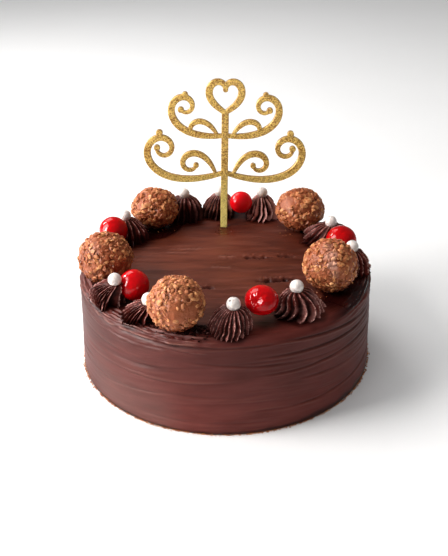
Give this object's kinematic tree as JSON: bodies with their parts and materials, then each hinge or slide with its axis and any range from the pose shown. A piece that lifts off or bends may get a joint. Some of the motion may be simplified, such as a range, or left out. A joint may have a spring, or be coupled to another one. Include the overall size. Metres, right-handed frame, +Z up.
{
  "type": "chocolate birthday cake",
  "caption": "Round ganache-coated chocolate cake ringed with piped rosettes, sugar pearls, nut-crusted chocolate balls and cherries, with a gold ornament on a stick.",
  "frame": {"origin": "on the cake's axis, at the flat face it stands on", "axes": "+Z up along the cake's axis; -Y towards the front of the picture, +X to its right"},
  "size_m": [0.166, 0.166, 0.1454],
  "materials": {
    "ganache": "satin chocolate ganache with long spatula streaks",
    "cream": "dark piped chocolate cream with fine ribs",
    "nut_coat": "milk chocolate with chopped roasted nuts",
    "cherry": "glossy wet red skin",
    "pearl": "soft nacre white sugar",
    "gold": "gold glitter"
  },
  "bodies": {
    "root": {"cake": "ganache", "nut_ball_1": "nut_coat", "nut_ball_2": "nut_coat", "nut_ball_3": "nut_coat", "nut_ball_4": "nut_coat", "nut_ball_5": "nut_coat", "cherry_1": "cherry", "cherry_2": "cherry", "cherry_3": "cherry", "cherry_4": "cherry", "cherry_5": "cherry", "rosette_1": "cream", "rosette_2": "cream", "rosette_3": "cream", "rosette_4": "cream", "rosette_5": "cream", "rosette_6": "cream", "rosette_7": "cream", "rosette_8": "cream", "rosette_9": "cream", "rosette_10": "cream", "rosette_11": "cream", "pearl_1": "pearl", "pearl_2": "pearl", "pearl_3": "pearl", "pearl_4": "pearl", "pearl_5": "pearl", "pearl_6": "pearl", "pearl_7": "pearl", "pearl_8": "pearl", "pearl_9": "pearl", "pearl_10": "pearl", "pearl_11": "pearl", "topper": "gold"}
  },
  "joints": []
}
